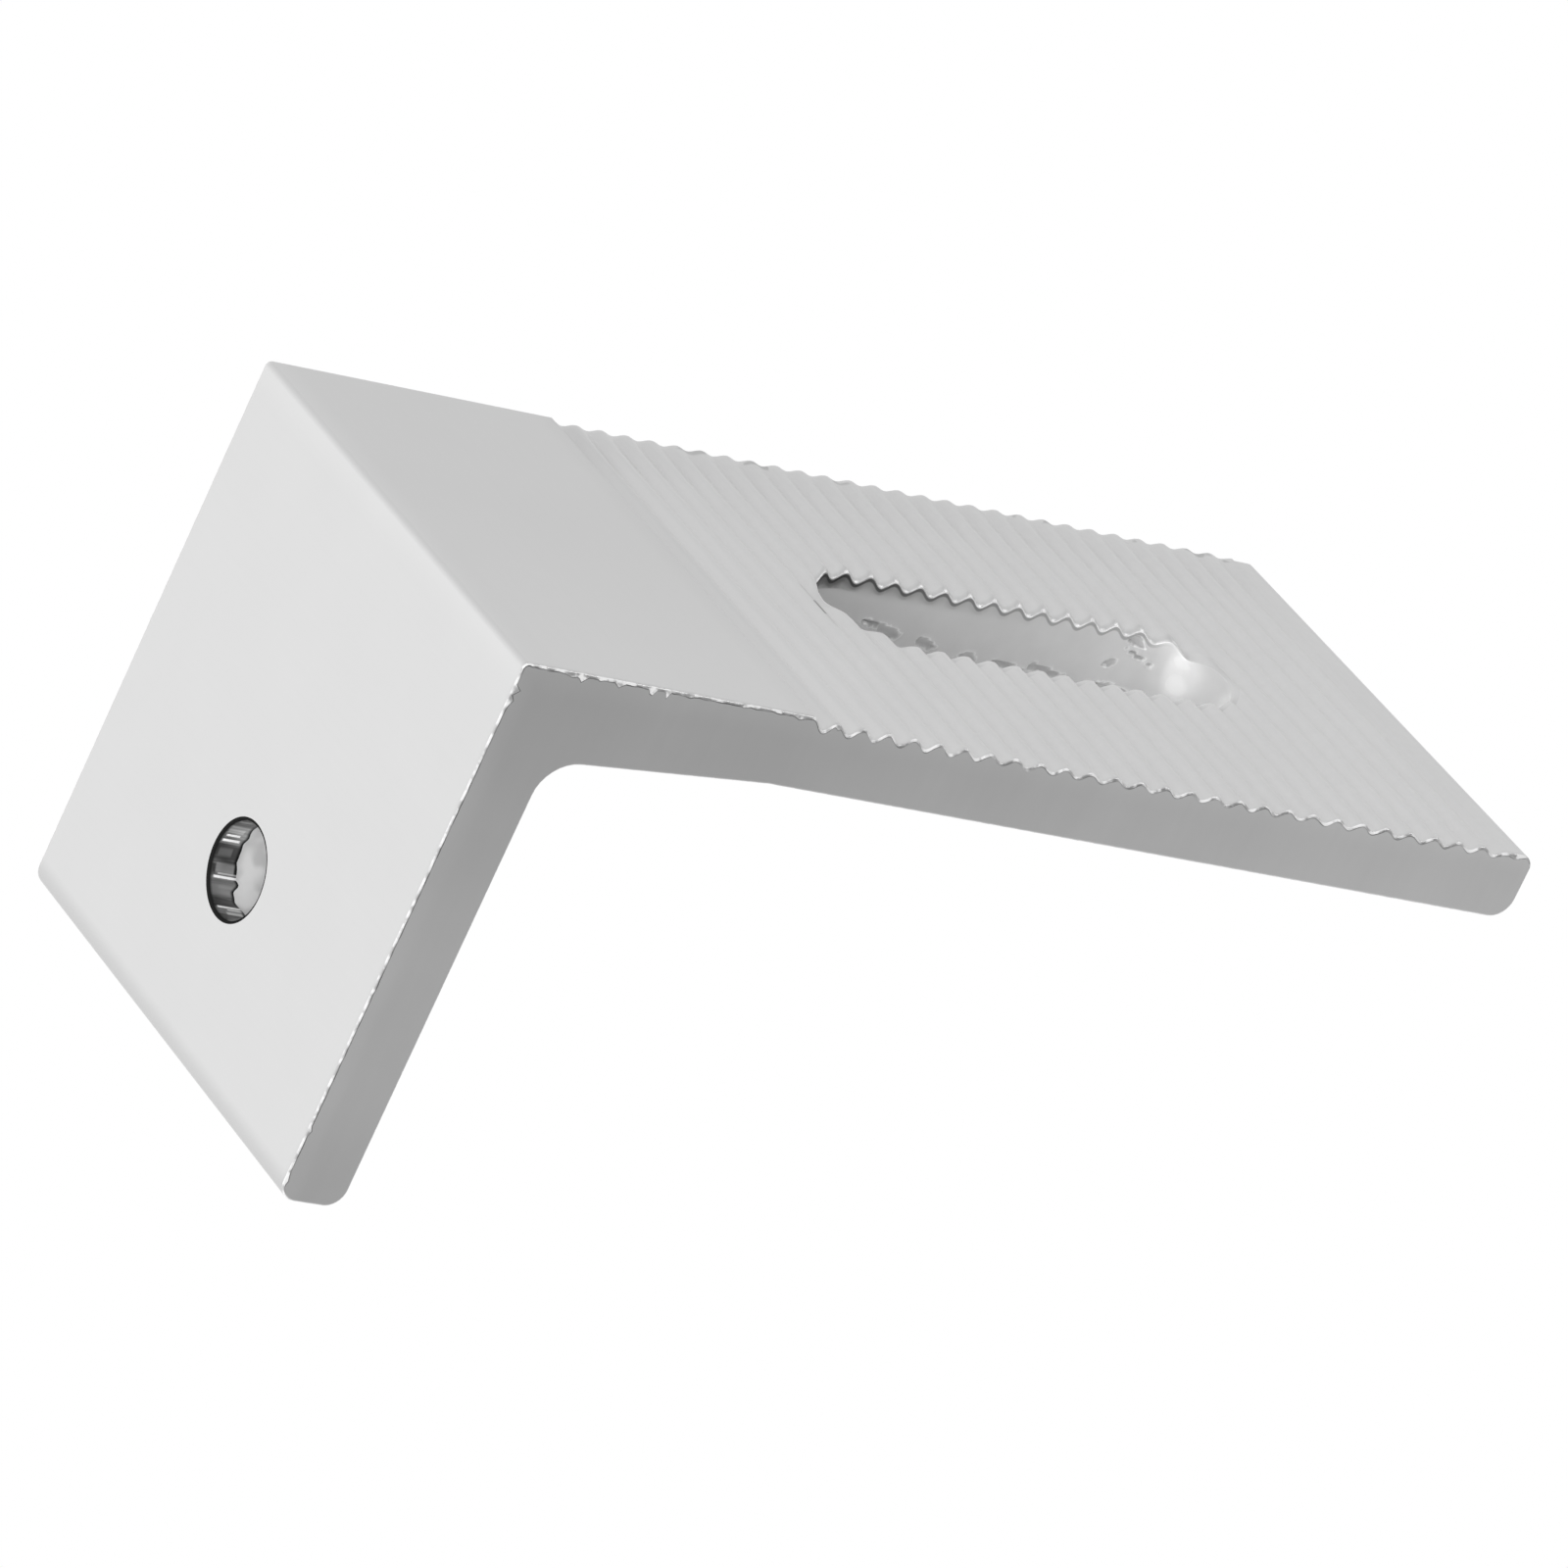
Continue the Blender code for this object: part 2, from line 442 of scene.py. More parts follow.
# %% The sawn faces, their burrs and the burrs' roots
def sawn_finish():
    """Cloudy, with faint marks of the saw, and painted light and shade: darker by the heel and the
    foot's end, lighter up the leg and by the outer edges.
    """
    material, nodes, shader = finish("sawn_face")
    clouds = nodes.noise(110, detail=3)
    saw_lines = nodes.noise(1500, detail=2, stretch=(0.05, 1, 1))
    # Painted light and shade: darker by the heel and the foot's end, lighter up the leg and edges.
    up_leg = nodes.ease(nodes.along("Z"), -10 * MM, 95 * MM, 0.835, 1.12)
    along_foot = nodes.ease(nodes.along("X"), low.x, low.x + 22 * MM, 0.0, 0.13)
    foot_end = nodes.ease(nodes.along("X"), high.x - 9 * MM, high.x, 0.0, 0.07)
    from_outside = nodes.work_out("MINIMUM", nodes.along("X") - HEEL, nodes.along("Z"))
    by_edge = nodes.ease(from_outside, 0.0, 2.2 * MM, 0.06, 0.0)
    light = up_leg + along_foot + by_edge - foot_end
    level = METAL * (0.92 + 0.14 * clouds + 0.03 * saw_lines) * light
    nodes.feed(shader.inputs["Base Color"], level)
    nodes.feed(shader.inputs["Roughness"], 0.42 + 0.10 * clouds)
    nodes.feed(shader.inputs["Normal"], nodes.bump(saw_lines, 0.003 * MM))
    return material


def burr_finish():
    """Raw bright metal along the sawn edges."""
    material, nodes, shader = finish("burr")
    grain = nodes.noise(1200, detail=3)
    bright = nodes.ease(grain, 0.40, 0.58)
    nodes.feed(shader.inputs["Base Color"], 0.70 + 0.30 * bright)
    nodes.feed(shader.inputs["Metallic"], 0.7 - 0.7 * bright)
    nodes.feed(shader.inputs["Roughness"], 0.25 + 0.15 * grain)
    return material


def burr_shadow_finish():
    """Painted shadow: the narrow line under the burr, dark because the burr hangs over it."""
    material, nodes, shader = finish("burr_shadow")
    grain = nodes.noise(700, detail=3)
    toothed = nodes.ease(nodes.along("Z"), LAND_HEIGHT - 2 * MM, LAND_HEIGHT + 8 * MM, 0.0, 0.22)
    nodes.feed(shader.inputs["Base Color"], nodes.ease(grain, 0.35, 0.65, 0.20, 0.60) + toothed)
    nodes.feed(shader.inputs["Roughness"], 0.3 + 0.2 * grain)
    return material


SAWN = sawn_finish()
BURR = burr_finish()
BURR_SHADOW = burr_shadow_finish()
print("finishes so far:", [material.name for material in bpy.data.materials])

# %% [markdown]
# ## Drawing with a point
#
# A section is easiest to draw as on paper, one line after the other. A plane collapsed to its
# centre is a single point, and each extrude pulls a new line out of the last point. `pick`
# selects by place instead of by mouse, so that an operator can be aimed in code.

# %% Drawing helpers
MERGE_DISTANCE = 0.004 * MM


def start_point(name, place):
    """A new piece that is a single point so far, open in edit mode."""
    bpy.ops.object.select_all(action="DESELECT")
    bpy.ops.mesh.primitive_plane_add(size=MM, location=place)
    bpy.ops.object.transform_apply(location=True)
    piece = bpy.context.object
    piece.name = name
    bpy.ops.object.mode_set(mode="EDIT")
    bpy.ops.mesh.select_mode(type="VERT")
    bpy.ops.mesh.select_all(action="SELECT")
    bpy.ops.mesh.merge(type="CENTER")
    return piece


def pull(along, across, up):
    """Extrude what is selected by a move."""
    bpy.ops.mesh.extrude_region_move(TRANSFORM_OT_translate={"value": (along, across, up)})


def pick(piece, kind, wanted):
    """Select only the vertices, edges or faces that pass a test, and count them."""
    bpy.ops.mesh.select_mode(type=kind)
    bpy.ops.mesh.select_all(action="DESELECT")
    shape = bmesh.from_edit_mesh(piece.data)
    parts = {"VERT": shape.verts, "EDGE": shape.edges, "FACE": shape.faces}[kind]
    found = [part for part in parts if wanted(part)]
    for part in found:
        part.select_set(True)
    shape.select_flush_mode()
    bmesh.update_edit_mesh(piece.data)
    return len(found)


def pick_nearest(piece, kind, place):
    """Select the one vertex or edge whose middle is nearest to a place."""
    shape = bmesh.from_edit_mesh(piece.data)
    parts = {"VERT": shape.verts, "EDGE": shape.edges}[kind]
    number = min(parts, key=lambda part: (middle_of(part) - place).length).index
    pick(piece, kind, lambda part: part.index == number)


def middle_of(part):
    """A vertex's place, or the middle of an edge."""
    if isinstance(part, bmesh.types.BMVert):
        return part.co
    return (part.verts[0].co + part.verts[1].co) / 2


def merge_all():
    """Weld points that lie on each other."""
    bpy.ops.mesh.select_all(action="SELECT")
    bpy.ops.mesh.remove_doubles(threshold=MERGE_DISTANCE)


# %% [markdown]
# ## The section
#
# The pen starts at the heel and goes round the L: along the bearing face, round the foot's end,
# back to the leg's root, up the inner side, over the free end and straight down the outer side
# to the heel. The teeth come later, as a wave in this last straight, because a punch has to
# cut a plain face first. When the outline closes it is filled, and its corners are rounded.

# %% Draw the section
EDGE_DEPTH = 0.12 * MM
CORNER_STEPS = 8

first_cut = NEAR_SIDE + EDGE_DEPTH
corners = [
    (0, 0, HEEL_RADIUS),
    (FOOT_LENGTH, 0, FOOT_END_RADIUS),
    (FOOT_LENGTH, FOOT_THICKNESS, FOOT_END_RADIUS),
    (ROOT_THICKNESS, FOOT_THICKNESS, INNER_FILLET_RADIUS),
    (LEG_THICKNESS, TAPER_TOP, 0),
    (LEG_THICKNESS, LEG_HEIGHT, LEG_END_INNER_RADIUS),
    (0, LEG_HEIGHT, LEG_END_OUTER_RADIUS),
    (0, TOP_OF_TEETH, 0),
    (0, LAND_HEIGHT, 0),
]
bracket = start_point("punched_l_foot", (HEEL, first_cut, 0))
for (along, up, _), (next_along, next_up, _) in zip(corners, corners[1:] + corners[:1]):
    pull(next_along - along, 0, next_up - up)
merge_all()
bpy.ops.mesh.select_all(action="SELECT")
bpy.ops.mesh.edge_face_add()
print("the outline is closed, with", len(corners), "corners")

# %% Round the section's corners
for along, up, radius in corners:
    if radius:
        pick_nearest(bracket, "VERT", Vector((HEEL + along, first_cut, up)))
        bpy.ops.mesh.bevel(
            offset=radius, segments=CORNER_STEPS, profile=0.5, affect="VERTICES"
        )

# %% [markdown]
# The teeth and the burrs that come later need points to bend, so the long straights of the
# outline are divided: sixteen to a tooth, finely wherever else the sawn edge shows in the
# photograph, and coarsely inside the L.

# %% Divide the long straights
TOOTH_STEPS = 16
FINE_STEP = 0.22 * MM
COARSE_STEP = 4.0 * MM


def on_toothed_face(place):
    """Whether a place lies on the outer face, where the teeth will be."""
    return place.x < HEEL + MERGE_DISTANCE and LAND_HEIGHT < place.z < TOP_OF_TEETH


def step_for(middle):
    """How finely the straight with this middle is divided."""
    if on_toothed_face(middle):
        return TOOTH_PITCH
    outer = min(middle.x - low.x, middle.z - low.z, high.x - middle.x, high.z - middle.z)
    return FINE_STEP if outer < MERGE_DISTANCE else COARSE_STEP


shape = bmesh.from_edit_mesh(bracket.data)
long_lines = [
    (middle_of(line).copy(), line.calc_length())
    for line in shape.edges
    if line.calc_length() > 2 * FINE_STEP
]
for middle, length in long_lines:
    cuts = round(length / step_for(middle)) - 1
    if cuts > 0:
        pick_nearest(bracket, "EDGE", middle)
        bpy.ops.mesh.subdivide(number_cuts=cuts)
teeth = pick(bracket, "EDGE", lambda line: on_toothed_face(middle_of(line)))
bpy.ops.mesh.subdivide(number_cuts=TOOTH_STEPS - 1)
bpy.ops.object.mode_set(mode="OBJECT")
print(teeth, "teeth are marked out; the section has", len(bracket.data.vertices), "points")

# %% [markdown]
# ## Along the width
#
# Pulling the section sideways makes the bar. It is pulled in a few stretches and not in one,
# with short ones beside the sawn ends, where the edges get their burrs.

# %% Pull the section along the width
last_cut = FAR_SIDE - EDGE_DEPTH
half_places = [3 * MM, 9 * MM, 14 * MM, 17 * MM, 18 * MM, 18.7 * MM, 19.3 * MM, 19.6 * MM, last_cut]
places = [-place for place in reversed(half_places)] + half_places

bpy.ops.object.mode_set(mode="EDIT")
bpy.ops.mesh.select_all(action="SELECT")
for before, after in zip(places, places[1:]):
    pull(0, after - before, 0)
print("the bar is pulled in", len(places) - 1, "stretches")

# %% [markdown]
# ## The sawn ends
#
# A sawn edge is never quite sharp: the blade turns it over into a burr. Two insets that also
# step outwards make each end's border a narrow rounded band, and a third one, without a step,
# marks off the line of painted shadow at its root. An inset leaves its middle selected and gives
# its border the middle's finish, so the finishes are handed out between the insets, from the burr
# inwards.

# %% Round the sawn edges
OUTER_EDGE = 0.5 * MM
# The third inset gets the painted shadow under the burr.
INSETS = (
    (0.03, 0.07, BURR),
    (0.06, 0.05, BURR),
    (0.08, 0.0, BURR_SHADOW),
    (0.0, 0.0, SAWN),
)


def paint_selected(piece, material):
    """Give the selected faces a finish that the piece already has."""
    piece.active_material_index = piece.data.materials.find(material.name)
    bpy.ops.object.material_slot_assign()


bpy.ops.object.mode_set(mode="OBJECT")
for material in (EXTRUDED, BURR, BURR_SHADOW, SAWN):
    bracket.data.materials.append(material)
bpy.ops.object.mode_set(mode="EDIT")
bpy.ops.mesh.select_all(action="SELECT")
bpy.ops.mesh.normals_make_consistent(inside=False)
for cut_place in (first_cut, last_cut):
    ends = pick(
        bracket, "FACE", lambda face: abs(face.calc_center_median().y - cut_place) < MERGE_DISTANCE
    )
    for thickness, depth, material in INSETS:
        paint_selected(bracket, material)
        if thickness:
            bpy.ops.mesh.inset(thickness=thickness * MM, depth=depth * MM)
    print("rounded the edge of", ends, "sawn end")


def is_inner_root(face):
    """Whether a face of the burr's painted shadow lies inside the L, where it is left plain."""
    if bracket.data.materials[face.material_index] is not BURR_SHADOW:
        return False
    middle = face.calc_center_median()
    return min(middle.x - low.x, middle.z - low.z) > OUTER_EDGE


print(pick(bracket, "FACE", is_inner_root), "faces of the inner edges are plain")
paint_selected(bracket, SAWN)
bpy.ops.object.mode_set(mode="OBJECT")
print("the bar has", len(bracket.data.polygons), "faces")

# %% [markdown]
# ## Burrs
#
# The saw pushed small tongues of metal over its edges here and there, and left the rest of the
# edge a little ragged. Each tongue is a bump in the line of the burr: its place along the edge
# and its half width, both in mm, and its share of the longest tongue's length. One Displace
# modifier moves the burr's points down the sawn face, each by the share that its vertex group
# holds.

# %% Press points by their share
def press(piece, name, direction, strength, share):
    """Move points along X, Y, Z or their normal, each by its share of a strength."""
    group = piece.vertex_groups.new(name=name)
    for point in piece.data.vertices:
        amount = share(point.co)
        if amount > 0:
            group.add([point.index], min(1.0, amount), "REPLACE")
    bpy.context.view_layer.objects.active = piece
    shift = piece.modifiers.new(name, "DISPLACE")
    shift.direction = direction
    shift.mid_level = 0.0
    shift.strength = strength
    shift.vertex_group = group.name
    bpy.ops.object.modifier_apply(modifier=shift.name)
    print(name, "is pressed in")


def ease(value, start, end):
    """A smooth change from 0 to 1 while value goes from start to end."""
    share = min(1.0, max(0.0, (value - start) / (end - start)))
    return share * share * (3 - 2 * share)


# %% Raise the burrs
TONGUE_LENGTH = 0.7 * MM
RAGGED = 0.10
OUTER_BAND = 0.2 * MM
HEEL_CORNER = 0.5 * MM
TONGUES_UP_LEG = (
    (3.9, 0.9, 0.40), (4.7, 0.5, 0.70), (6.1, 0.3, 0.30), (7.6, 0.5, 0.55), (10.2, 0.3, 1.0),
    (11.4, 0.25, 0.8), (13.1, 0.2, 0.5), (17.5, 0.4, 0.25), (22.0, 0.7, 0.40), (25.2, 0.3, 0.5),
    (41.0, 0.4, 0.3), (82.4, 0.9, 0.4),
)
TONGUES_ALONG_FOOT = (
    (2.0, 0.25, 0.7), (2.9, 0.3, 0.8), (24.5, 0.5, 0.15), (35.4, 0.3, 0.3), (39.2, 0.5, 0.3),
)


def edge_share(along, tongues, ragged):
    """How far the burr reaches at a distance along its edge: ragged, with tongues."""
    ragged = ragged * (1 + noise.noise(Vector((along / MM, 0, 0)) * 1.7))
    bumps = [
        length * max(0.0, 1 - abs(along / MM - middle) / half_width)
        for middle, half_width, length in tongues
    ]
    return max(bumps + [ragged])


def in_burr(place):
    """1 on the sawn faces' borders, less on the rounded band, 0 elsewhere."""
    return ease(abs(place.y), high.y - 0.06 * MM, high.y - 0.01 * MM)


def burr_down_leg(place):
    """The share by which a point of the leg's outer edge moves along X."""
    if place.x > HEEL + OUTER_BAND or place.z < HEEL_CORNER:
        return 0.0
    tongues = TONGUES_UP_LEG if place.y < 0 else ()
    return in_burr(place) * edge_share(place.z, tongues, RAGGED)


def burr_up_foot(place):
    """The share by which a point of the bearing face's edge moves along Z."""
    if place.z > OUTER_BAND or place.x < HEEL + HEEL_CORNER:
        return 0.0
    tongues = TONGUES_ALONG_FOOT if place.y < 0 else ()
    return in_burr(place) * edge_share(place.x - HEEL, tongues, RAGGED / 2)


press(bracket, "burr_down_leg", "X", TONGUE_LENGTH, burr_down_leg)
press(bracket, "burr_up_foot", "Z", TONGUE_LENGTH, burr_up_foot)

# %% [markdown]
# ## The punches
#
# A punch is a bar with a round or a round-ended section. Its outline along the stroke is drawn
# with the pen: the rim that rolls over where the punch enters, the straight sheared band, and
# the wider torn part where the metal gave way. Swept half a turn, along a straight, half a turn
# and back, the outline becomes a closed tool that a Boolean takes out of the bar. With no
# straight at all the same sweep makes the round hole.

# %% Punch tools
STAND_OUT = 1.0 * MM
RIM_STEPS = 7


def punch_outline(radius, roll_reach, roll_depth, wall):
    """Distance from the axis and depth below the entry face, all along the stroke."""
    outline = [(radius + roll_reach, -STAND_OUT), (radius + roll_reach, -roll_depth / 20)]
    for step in range(1, RIM_STEPS + 1):
        angle = math.pi / 2 * step / RIM_STEPS
        reach = roll_reach * (1 - math.sin(angle))
        outline.append((radius + reach, roll_depth * (1 - math.cos(angle))))
    return outline + [(radius + flare, depth) for flare, depth in wall]


def sweep_punch(name, outline, turn_steps, run, run_steps):
    """A closed tool that points along +Z, its entry face at z = 0 and its straights along Y."""
    (start_radius, start_depth) = outline[0]
    tool = start_point(name, (start_radius, -run / 2, start_depth))
    for (radius, depth), (next_radius, next_depth) in zip(outline, outline[1:]):
        pull(next_radius - radius, 0, next_depth - depth)
    bpy.ops.mesh.select_all(action="SELECT")
    for middle, way in ((-run / 2, 1), (run / 2, -1)):
        bpy.ops.mesh.spin(
            steps=turn_steps, angle=math.pi, center=(0, middle, 0), axis=(0, 0, 1)
        )
        for _ in range(run_steps):
            pull(0, way * run / run_steps, 0)
    merge_all()
    bpy.ops.mesh.select_mode(type="EDGE")
    bpy.ops.mesh.select_all(action="DESELECT")
    bpy.ops.mesh.select_non_manifold()
    bpy.ops.mesh.edge_face_add()
    bpy.ops.mesh.select_all(action="SELECT")
    bpy.ops.mesh.normals_make_consistent(inside=False)
    bpy.ops.object.mode_set(mode="OBJECT")
    print(name, "has", len(tool.data.polygons), "faces")
    return tool


def coat_punch(tool, depths, finishes):
    """Give each stretch of the tool the finish that it leaves on the wall it cuts."""
    for material in finishes:
        tool.data.materials.append(material)
    for face in tool.data.polygons:
        face.material_index = sum(face.center.z > depth for depth in depths)


def set_punch(tool, place, turn):
    """Put the tool at its place, with its stroke turned the right way."""
    tool.matrix_world = Matrix.Translation(place) @ turn
    bpy.ops.object.select_all(action="DESELECT")
    tool.select_set(True)
    bpy.context.view_layer.objects.active = tool
    bpy.ops.object.transform_apply(location=True, rotation=True, scale=True)


def punch_out(tool):
    """Take the tool's shape out of the bracket and throw the tool away."""
    bpy.ops.object.select_all(action="DESELECT")
    bracket.select_set(True)
    bpy.context.view_layer.objects.active = bracket
    cut = bracket.modifiers.new(tool.name, "BOOLEAN")
    cut.operation = "DIFFERENCE"
    cut.solver = "EXACT"
    cut.material_mode = "TRANSFER"
    cut.object = tool
    bpy.ops.object.modifier_apply(modifier=cut.name)
    bpy.data.objects.remove(tool)
    print("after the cut the bracket has", len(bracket.data.polygons), "faces")


# %% [markdown]
# ## The hole
#
# The punch sheared the first two fifths of the hole's wall to a dark polished band with a few
# bright score marks along the stroke. Then the metal tore, along a ragged line, and the rest of
# the wall is pale and rough. The tear line is pressed into the punch before it cuts, and the
# band's finish follows it: each point of the mesh keeps how much of the band is left below it.
#
# Places round the hole are in degrees, from the foot's free end towards the far side. A lump of
# the tear line has a place, a half width and its share of the line's reach.

# %% The hole's tear line
HOLE_ROLL_REACH = 0.25 * MM
HOLE_ROLL_DEPTH = 0.11 * MM
HOLE_SHEARED = 1.93 * MM
TEAR_REACH = 0.6 * MM
TEAR_STEP = 0.12 * MM
TORN_FROM = 3.0 * MM
TORN_DEPTH = 0.10 * MM
TORN_FLARE = 0.08 * MM
HOLE_TURN_STEPS = 72
TEAR_LUMPS = (
    (105, 15, 0.30), (84, 24, 0.22), (60, 20, 0.40), (47, 11, 0.72), (9, 17, 0.75), (-60, 40, 0.7),
    (-150, 30, 0.5),
)


def hole_angle(along, across):
    """Degrees round the hole's axis."""
    return math.degrees(math.atan2(across, along))


def tear_share(angle):
    """How far the tear line lies below its highest place, as a share of its reach."""
    ragged = 0.10 + 0.12 * noise.noise(Vector((angle / 9, 0, 0)))
    lumps = [
        height * ease(1 - abs(angle - middle) / half_width, 0, 1)
        for middle, half_width, height in TEAR_LUMPS
    ]
    return max(lumps + [0.0]) + ragged


def in_tear(place):
    """The share by which a point of the punch moves: all of it on the tear line's two rows."""
    on_line = abs(place.z - HOLE_SHEARED - TEAR_STEP / 2) < 0.1 * MM
    return tear_share(hole_angle(place.x, place.y)) if on_line else 0.0


def torn_grain(place):
    """Rough lumps for the torn part of the punch, from 0 to 1."""
    return 0.5 + 0.5 * noise.noise(place / MM * 1.3) if place.z > TORN_FROM else 0.0


# %% [markdown]
# A score mark has a place and a half width in degrees, the depths in mm where it starts and
# ends, and a brightness. The sharp bright ones are scratches that the punch dragged along its
# stroke, and the wide faint ones are patches that it polished less.

# %% The hole's finishes
SCORES = (
    (105.0, 2.2, 0.5, 1.4, 0.95), (97.5, 2.4, 0.4, 1.6, 1.0), (53.7, 2.2, 0.5, 2.2, 1.0),
    (57.5, 1.5, 0.8, 2.2, 0.5), (63.5, 8.0, 0.6, 1.9, 0.34), (82.5, 7.0, 0.5, 1.4, 0.18),
    (112.5, 5.0, 0.4, 1.5, 0.32), (15.2, 2.2, 0.5, 2.2, 0.95), (11.5, 1.5, 1.2, 2.2, 0.6),
    (4.5, 4.0, 1.0, 2.1, 0.4), (136.0, 4.0, 0.4, 1.2, 0.25), (42.0, 3.0, 0.9, 1.9, 0.06),
    (120.0, 2.5, 0.4, 1.8, 0.10),
)


def sheared_finish():
    """The burnished band: streaked, scored, nearly black at the tear and in painted shade at the
    rim.
    """
    material, nodes, shader = finish("sheared_wall")
    streaks = nodes.noise(1100, detail=4, roughness=0.6, stretch=(1, 1, 0.05))
    depth = nodes.along("Z")
    across = nodes.along("Y") - HOLE_OFF_MIDDLE
    along = nodes.along("X") - (HEEL + HOLE_FROM_HEEL)
    angle = nodes.work_out("ARCTAN2", across, along)
    scores = 0
    for degrees, half_width, start, end, bright in SCORES:
        off = nodes.work_out("ABSOLUTE", angle - math.radians(degrees))
        in_width = nodes.ease(off, math.radians(half_width / 3), math.radians(half_width), 1.0, 0.0)
        scores = scores + bright * in_width * nodes.band(depth, start * MM, end * MM, 0.15 * MM)
    scores = scores * nodes.ease(streaks, 0.30, 0.50, 0.75, 1.0)
    # Painted shade: the band is nearly black along the rim.
    out_of_rim_shade = nodes.ease(depth, 0.12 * MM, 0.40 * MM)
    before_tear = nodes.ease(nodes.stored("sheared_left"), 0.08 * MM, 0.34 * MM)
    dull_side = nodes.ease(angle, math.radians(49), math.radians(53), 0.72, 1.0)
    streaked = 0.10 + 0.40 * nodes.ease(streaks, 0.42, 0.64)
    level = 0.02 + streaked * (out_of_rim_shade * before_tear) * dull_side + scores
    nodes.feed(shader.inputs["Base Color"], level)
    nodes.feed(shader.inputs["Metallic"], nodes.ease(depth, 0.1 * MM, 0.4 * MM) - scores)
    shader.inputs["Specular IOR Level"].default_value = 0.0
    nodes.feed(shader.inputs["Roughness"], 0.22 + 0.2 * streaks)
    nodes.feed(shader.inputs["Normal"], nodes.bump(streaks, 0.02 * MM))
    return material


def torn_hole_finish():
    """Where the metal tore: pale, dull and mottled."""
    material, nodes, shader = finish("torn_hole_wall")
    clouds = nodes.ease(nodes.noise(520, detail=1), 0.40, 0.58)
    shader.inputs["Metallic"].default_value = 0.0
    nodes.feed(shader.inputs["Base Color"], 0.65 + 0.21 * clouds)
    nodes.feed(shader.inputs["Roughness"], 0.5 + 0.2 * clouds)
    nodes.feed(shader.inputs["Normal"], nodes.bump(clouds, 0.03 * MM))
    return material


SHEARED = sheared_finish()
TORN_HOLE = torn_hole_finish()
print(len(SCORES), "score marks in the hole's sheared band")

# %% Punch the hole in the foot
hole_wall = [
    (0, HOLE_SHEARED),
    (0.05 * MM, HOLE_SHEARED + TEAR_STEP),
    (0.06 * MM, 2.9 * MM),
    (TORN_FLARE, 3.8 * MM),
    (TORN_FLARE, 4.4 * MM),
    (TORN_FLARE, FOOT_THICKNESS),
    (TORN_FLARE, FOOT_THICKNESS + STAND_OUT),
]
hole_outline = punch_outline(HOLE_RADIUS, HOLE_ROLL_REACH, HOLE_ROLL_DEPTH, hole_wall)
hole_punch = sweep_punch("hole_punch", hole_outline, HOLE_TURN_STEPS, 0, 0)
coat_punch(hole_punch, [HOLE_SHEARED], [SHEARED, TORN_HOLE])
press(hole_punch, "torn_grain", "NORMAL", TORN_DEPTH, torn_grain)
press(hole_punch, "tear_line", "Z", TEAR_REACH, in_tear)
set_punch(hole_punch, (HEEL + HOLE_FROM_HEEL, HOLE_OFF_MIDDLE, 0), Matrix.Identity(4))
punch_out(hole_punch)

# %% [markdown]
# ## The slot
#
# The slot's wall is greyer and torn in small flakes. Each flake is a spot on the wall, given in
# mm by its depth, its height up the leg and its two half widths, and by its slant. It is pressed
# into the punch, so that the cut leaves a real hollow. The punch is worn at its low end, on the
# near side. The punch's points lie in rows that are half a step off the bar's own rows, because
# a Boolean is at its best where no two edges lie on each other.

# %% Flakes of the slot's wall
FLAKE_DEPTH = 0.22 * MM
FLAKES_FROM = 0.6 * MM
FLAKES = (
    (3.75, 43.6, 0.22, 1.2, 0.10), (4.15, 45.1, 0.55, 1.1, 0.25), (4.45, 48.5, 0.42, 1.0, 0.15),
    (4.95, 52.2, 0.40, 1.0, 0.05), (4.95, 55.4, 0.25, 1.6, 0.05), (4.85, 58.9, 0.38, 1.9, 0.12),
    (5.10, 64.2, 0.25, 1.5, 0.0), (3.30, 63.6, 0.35, 0.6, -0.5), (2.25, 65.2, 0.16, 1.6, 0.30),
    (1.10, 64.9, 0.50, 0.9, 0.3),
)


def flake_share(depth, across, height):
    """How deep in a flake a place on the slot's far wall is, from 0 to 1."""
    if across < 0:
        return 0.0
    ragged = 0.45 * noise.noise(Vector((depth, 0, height)) / MM * 1.1)
    ragged += 0.25 * noise.noise(Vector((depth, 0, height)) / MM * 3.1)
    shares = []
    for at_depth, at_height, half_depth, half_height, slant in FLAKES:
        up = height / MM - at_height
        down = depth / MM - at_depth - slant * up
        reach = math.hypot(up / half_height, down / half_depth)
        shares.append(1 - reach + ragged if reach < 1.6 else 0)
    return ease(max(shares), 0.0, 0.45)


print(len(FLAKES), "flakes for the slot's far wall")

# %% [markdown]
# The wall gets painted shade, dark and lumpy at the slot's low end and below its rim, and painted
# light that grows towards its high end, where the punch left dents with painted highlights. A dent
# has its height and its depth, a half width for each, all in mm, and a brightness.

# %% The slot's finish
DENT_HIGHLIGHTS = (
    (68.0, 2.0, 0.85, 2.4, 0.16), (67.8, 1.1, 0.4, 0.7, 0.14), (68.0, 3.1, 0.45, 0.7, 0.14),
)


def dent_highlights(nodes, height, depth):
    """How much painted highlight the wall gets in the dents at the slot's high end."""
    light = 0
    for at_height, at_depth, half_height, half_depth, bright in DENT_HIGHLIGHTS:
        up = (height - at_height * MM) * (1 / (half_height * MM))
        down = (depth - at_depth * MM) * (1 / (half_depth * MM))
        light = light + bright * nodes.ease(up * up + down * down, 0.2, 1.5, 1.0, 0.0)
    return light


